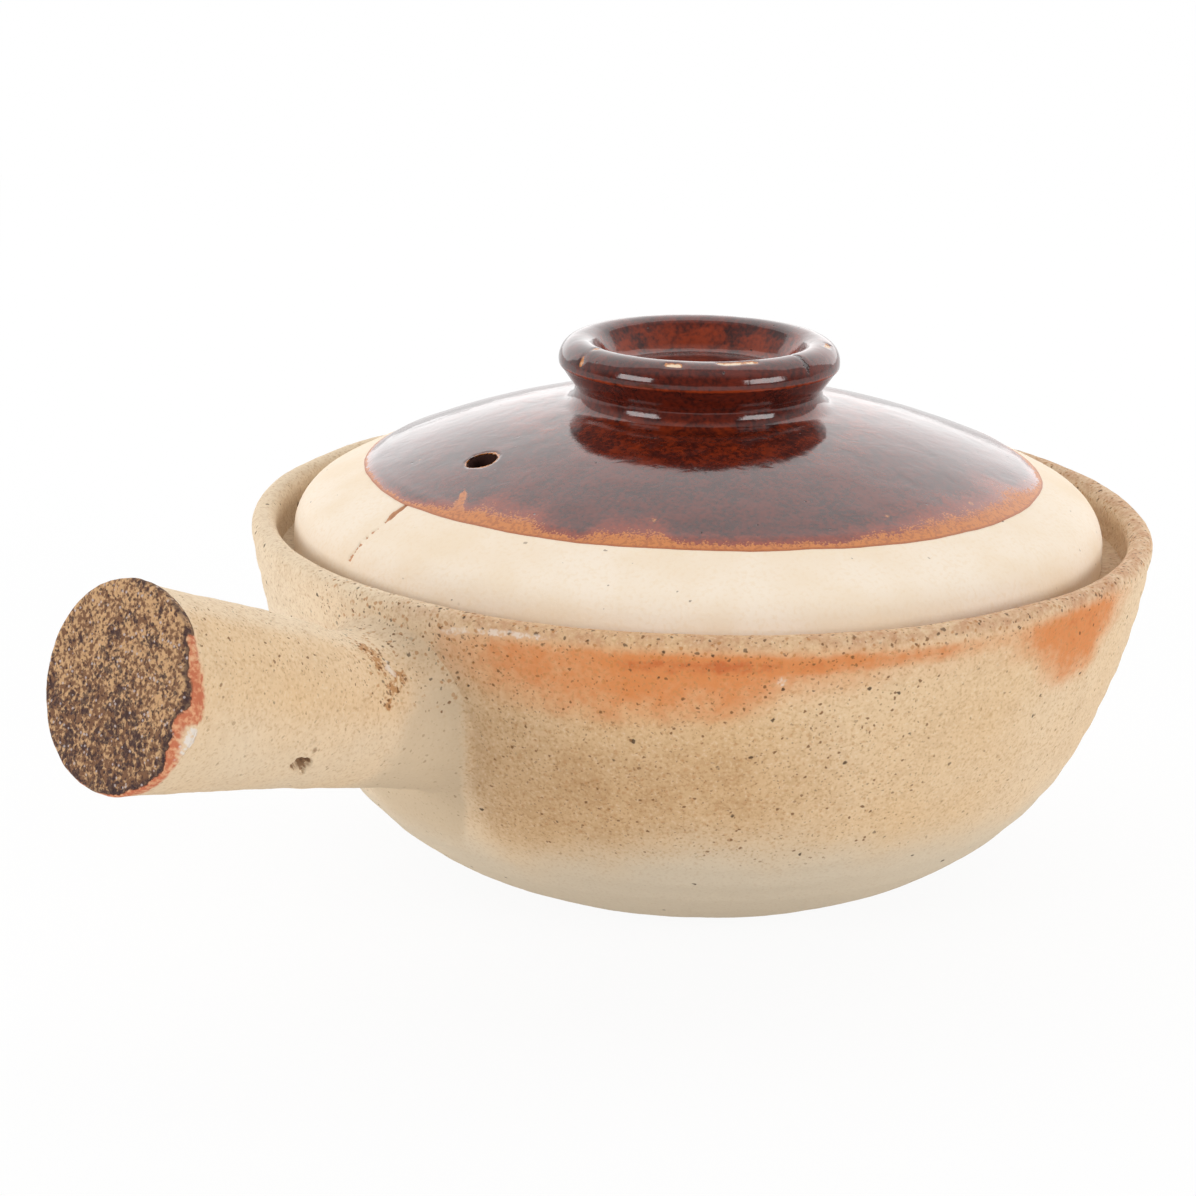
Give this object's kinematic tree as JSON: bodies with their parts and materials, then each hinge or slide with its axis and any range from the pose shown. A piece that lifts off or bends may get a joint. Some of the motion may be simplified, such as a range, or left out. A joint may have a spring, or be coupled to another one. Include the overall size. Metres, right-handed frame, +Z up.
{
  "type": "chinese sand pot",
  "caption": "Round clay cooking pot with a stub handle that tilts up, and a domed lid with a glazed crown, a cup-shaped knob and a steam hole, lying on a ledge inside the lip.",
  "frame": {"origin": "centre of the flat base that the pot stands on", "axes": "+Z up through the lid's knob, -X along the handle, +Y to the left when looking along +X"},
  "size_m": [0.2441, 0.18, 0.1046],
  "materials": {
    "pot_clay": "unglazed sandy stoneware with dark specks",
    "rough_clay": "rough unglazed stoneware, densely speckled",
    "lid_clay": "smooth unglazed cream stoneware",
    "brown_glaze": "glossy dark brown glaze"
  },
  "bodies": {
    "pot": {"pot_bowl": "pot_clay", "pot_lining": "brown_glaze", "pot_handle": "pot_clay", "handle_end_disc": "rough_clay"},
    "lid": {"lid_dome": "lid_clay", "lid_knob": "lid_clay", "lid_glaze": "brown_glaze"}
  },
  "joints": [
    {"name": "lid_lift", "type": "slide", "parent": "pot", "child": "lid", "axis": [0, 0, 1], "range_m": [0, 0.12]}
  ]
}
